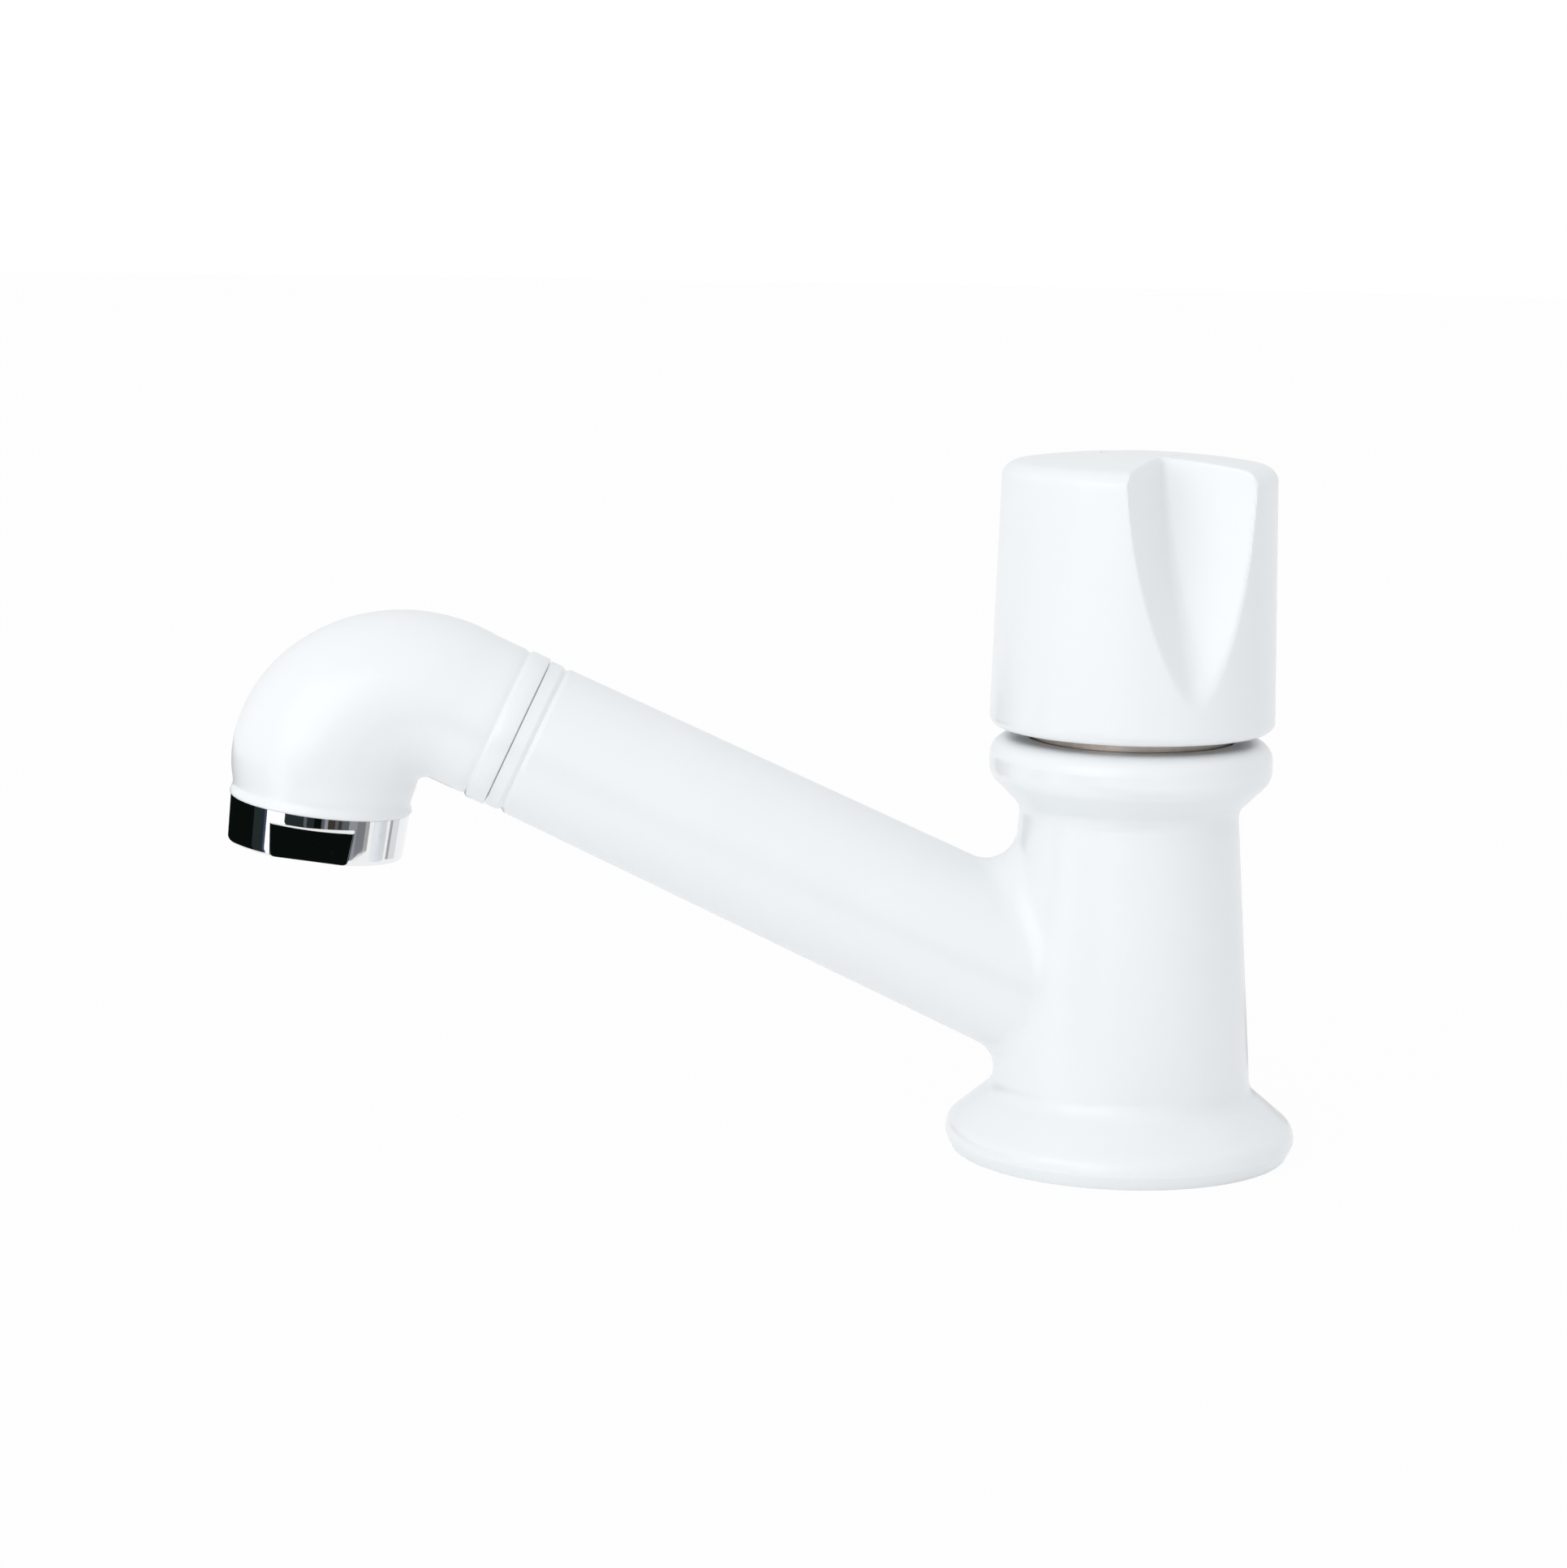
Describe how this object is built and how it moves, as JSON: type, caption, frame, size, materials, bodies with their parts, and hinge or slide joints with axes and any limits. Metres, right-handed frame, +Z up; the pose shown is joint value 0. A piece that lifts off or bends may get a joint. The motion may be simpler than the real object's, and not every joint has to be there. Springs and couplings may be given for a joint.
{
  "type": "basin tap",
  "caption": "Deck-mounted basin tap with a fluted turning knob, a rising straight spout and a swivelling elbow outlet with an aerator.",
  "frame": {"origin": "centre of the round foot on the deck plane, on the axis of the column, knob and threaded shank", "axes": "+Z up the column towards the knob, -X from the column towards the outlet, +Y away from the viewer of the front"},
  "size_m": [0.1542, 0.0504, 0.1457],
  "materials": {
    "white_plastic": "moulded white ABS with a soft gloss",
    "shank_plastic": "moulded off-white nylon with a cut thread",
    "nut_plastic": "moulded off-white nylon",
    "black_rubber": "moulded nitrile rubber",
    "seat_rubber": "red-brown seat rubber",
    "brass": "turned brass",
    "steel": "stainless steel",
    "clip_plastic": "natural acetal",
    "chrome": "bright chrome plate",
    "insert_plastic": "moulded acetal"
  },
  "bodies": {
    "body": {"body_shell": "white_plastic", "deck_gasket": "black_rubber", "inlet_riser": "shank_plastic", "riser_seal": "black_rubber", "deck_washer": "nut_plastic", "backnut": "nut_plastic", "bonnet": "brass", "bonnet_gasket": "black_rubber"},
    "knob": {"knob": "white_plastic", "knob_cap": "white_plastic", "knob_screw": "steel", "spindle": "brass", "spindle_o_rings": "black_rubber", "spindle_clip": "steel"},
    "plunger": {"plunger": "brass", "seat_washer": "seat_rubber", "washer_screw": "steel"},
    "elbow": {"spout_elbow": "white_plastic", "swivel_o_rings": "black_rubber", "swivel_clip": "clip_plastic", "aerator_housing": "chrome", "aerator_washer": "black_rubber", "aerator_insert": "insert_plastic", "aerator_screen": "steel", "aerator_grid": "insert_plastic"}
  },
  "joints": [
    {"name": "knob_turn", "type": "hinge", "parent": "body", "child": "knob", "pos_m": [0, 0, 0.0617], "axis": [0, 0, 1], "range_deg": [0, 450]},
    {"name": "plunger_lift", "type": "slide", "parent": "body", "child": "plunger", "axis": [0, 0, 1], "range_m": [0, 0.0038]},
    {"name": "elbow_swivel", "type": "hinge", "parent": "body", "child": "elbow", "pos_m": [-0.08829, 0, 0.05958], "axis": [-0.9092, 0, 0.4163], "continuous": true}
  ],
  "couplings": [
    {"joint": "plunger_lift", "follows": "knob_turn", "m_per_rad": 0.00047746}
  ]
}
